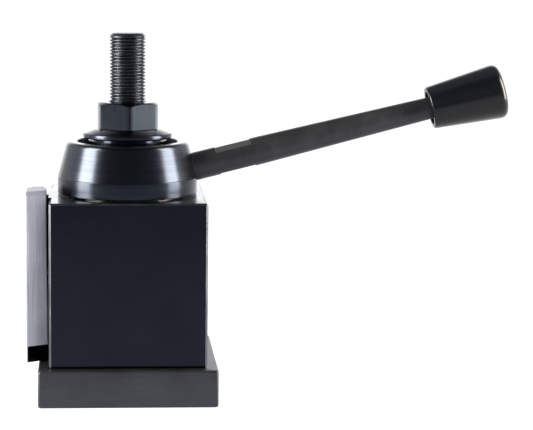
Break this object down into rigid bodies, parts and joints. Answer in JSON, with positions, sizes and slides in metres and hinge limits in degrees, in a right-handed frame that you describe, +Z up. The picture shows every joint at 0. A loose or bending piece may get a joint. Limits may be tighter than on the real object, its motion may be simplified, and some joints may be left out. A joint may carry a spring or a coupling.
{
  "type": "quick change tool post",
  "caption": "Wedge-type lathe tool post: square body with dovetails on two faces, sliding gibs, screw hub with tapered-knob handle, clamp stud, nut, cone washer and base plate.",
  "frame": {"origin": "centre of the base plate's underside, on the stud's axis", "axes": "+Z up the stud; the left dovetail faces -X, the rear dovetail faces +Y, and the handle points to +X when the post is locked"},
  "size_m": [0.2173, 0.0849, 0.1622],
  "materials": {
    "plate_steel": "satin black oxide",
    "body_steel": "ground, black oxide",
    "hub_steel": "turned and polished, black oxide",
    "nut_steel": "satin black oxide",
    "stud_steel": "rolled thread, black oxide",
    "handle_steel": "matte black oxide",
    "ground_steel": "bright ground",
    "machined_steel": "turned",
    "knob_plastic": "moulded phenolic, gloss",
    "insert_brass": "turned",
    "seal_rubber": "matte"
  },
  "bodies": {
    "base": {"base_plate": "plate_steel", "clamp_stud": "stud_steel"},
    "post": {"tool_post_body": "body_steel", "centre_sleeve": "hub_steel", "sleeve_screws": "stud_steel", "sleeve_dowels": "machined_steel", "drum_seal": "seal_rubber", "retaining_ring": "nut_steel"},
    "lift": {"lift_collar_left": "machined_steel", "lift_collar_rear": "machined_steel"},
    "hub": {"lift_drum": "machined_steel", "hub": "hub_steel", "hub_drive_pins": "machined_steel", "handle_rod": "handle_steel", "knob": "knob_plastic", "knob_insert": "insert_brass"},
    "gib_left": {"gib_left": "ground_steel", "gib_left_pin": "nut_steel"},
    "gib_rear": {"gib_rear": "ground_steel", "gib_rear_pin": "nut_steel"},
    "washer": {"clamp_washer": "hub_steel"},
    "nut": {"clamp_nut": "nut_steel"}
  },
  "joints": [
    {"name": "post_swivel", "type": "hinge", "parent": "base", "child": "post", "pos_m": [0, 0, 0.05], "axis": [0, 0, 1], "continuous": true},
    {"name": "collar_lift", "type": "slide", "parent": "post", "child": "lift", "axis": [0, 0, 1], "range_m": [0, 0.004]},
    {"name": "hub_turn", "type": "hinge", "parent": "lift", "child": "hub", "pos_m": [0, 0, 0.1], "axis": [0, 0, 1], "range_deg": [0, 110]},
    {"name": "gib_left_slide", "type": "slide", "parent": "post", "child": "gib_left", "axis": [0, 0.0872, 0.9962], "range_m": [0, 0.004]},
    {"name": "gib_rear_slide", "type": "slide", "parent": "post", "child": "gib_rear", "axis": [-0.0872, 0, 0.9962], "range_m": [0, 0.004]},
    {"name": "washer_lift", "type": "slide", "parent": "base", "child": "washer", "axis": [0, 0, 1], "range_m": [0, 0.003]},
    {"name": "nut_turn", "type": "hinge", "parent": "washer", "child": "nut", "pos_m": [0, 0, 0.1256], "axis": [0, 0, 1], "range_deg": [0, 720]}
  ],
  "couplings": [
    {"joint": "collar_lift", "follows": "hub_turn", "m_per_rad": 0.002069},
    {"joint": "gib_left_slide", "follows": "hub_turn", "m_per_rad": 0.0020769},
    {"joint": "gib_rear_slide", "follows": "hub_turn", "m_per_rad": 0.0020769},
    {"joint": "nut_turn", "follows": "washer_lift", "rad_per_m": 4188.8}
  ]
}
